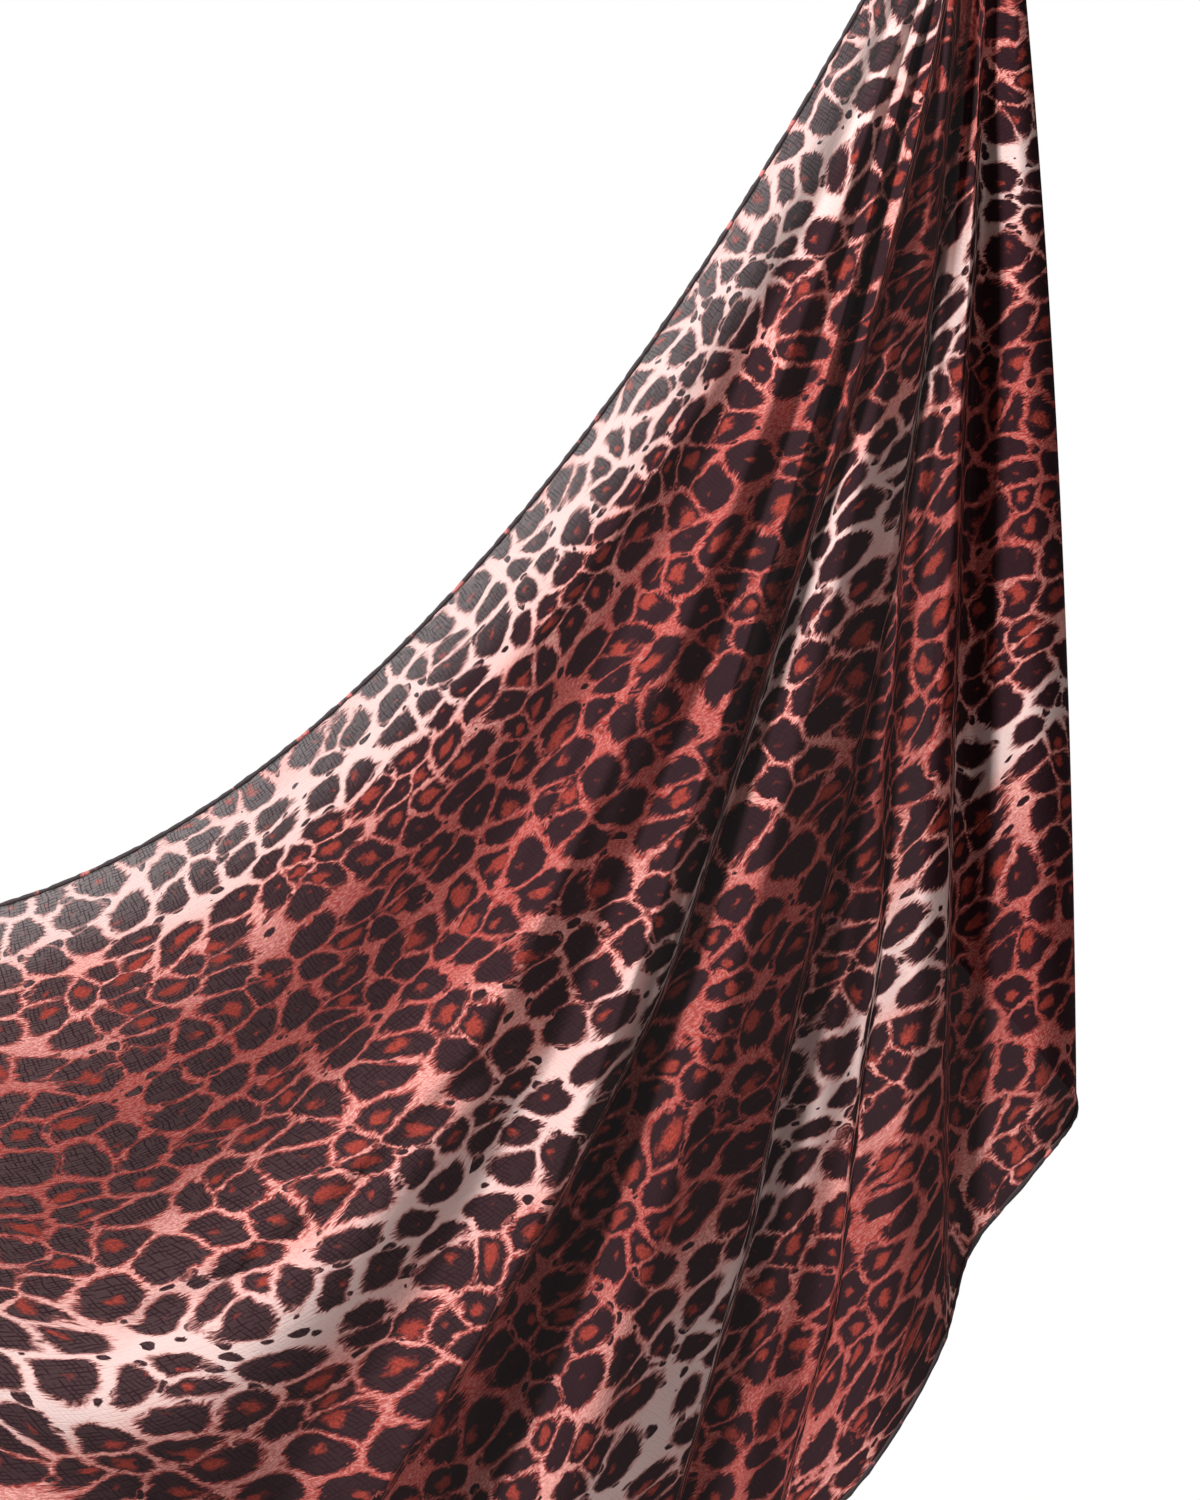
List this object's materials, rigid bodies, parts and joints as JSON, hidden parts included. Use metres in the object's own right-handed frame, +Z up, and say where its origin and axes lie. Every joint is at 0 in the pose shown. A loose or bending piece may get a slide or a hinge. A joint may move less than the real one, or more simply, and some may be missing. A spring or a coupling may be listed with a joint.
{
  "type": "hijab scarf",
  "caption": "Large sheer rectangular headscarf with a rolled hem, hung in a swag from two gathered points so that its pleats fan down and its top edge sags in a curve.",
  "frame": {"origin": "the right-hand gathered point, where the scarf is held up", "axes": "+Z up, +X to the right as the picture shows it, so the scarf hangs towards -X, and -Y towards the viewer"},
  "size_m": [1.158, 0.1121, 1.369],
  "materials": {
    "print": "sheer crinkled weave, printed with dark spots with rust centres on a pink net, in rust and cream bands",
    "hem": "narrow rolled hem in the same cloth"
  },
  "bodies": {
    "root": {"swag": "print", "right_pleats": "print", "right_return": "print", "left_pleats": "print", "left_return": "print", "top_hem": "hem", "bottom_hem": "hem", "right_end_hem": "hem", "left_end_hem": "hem"}
  },
  "joints": []
}
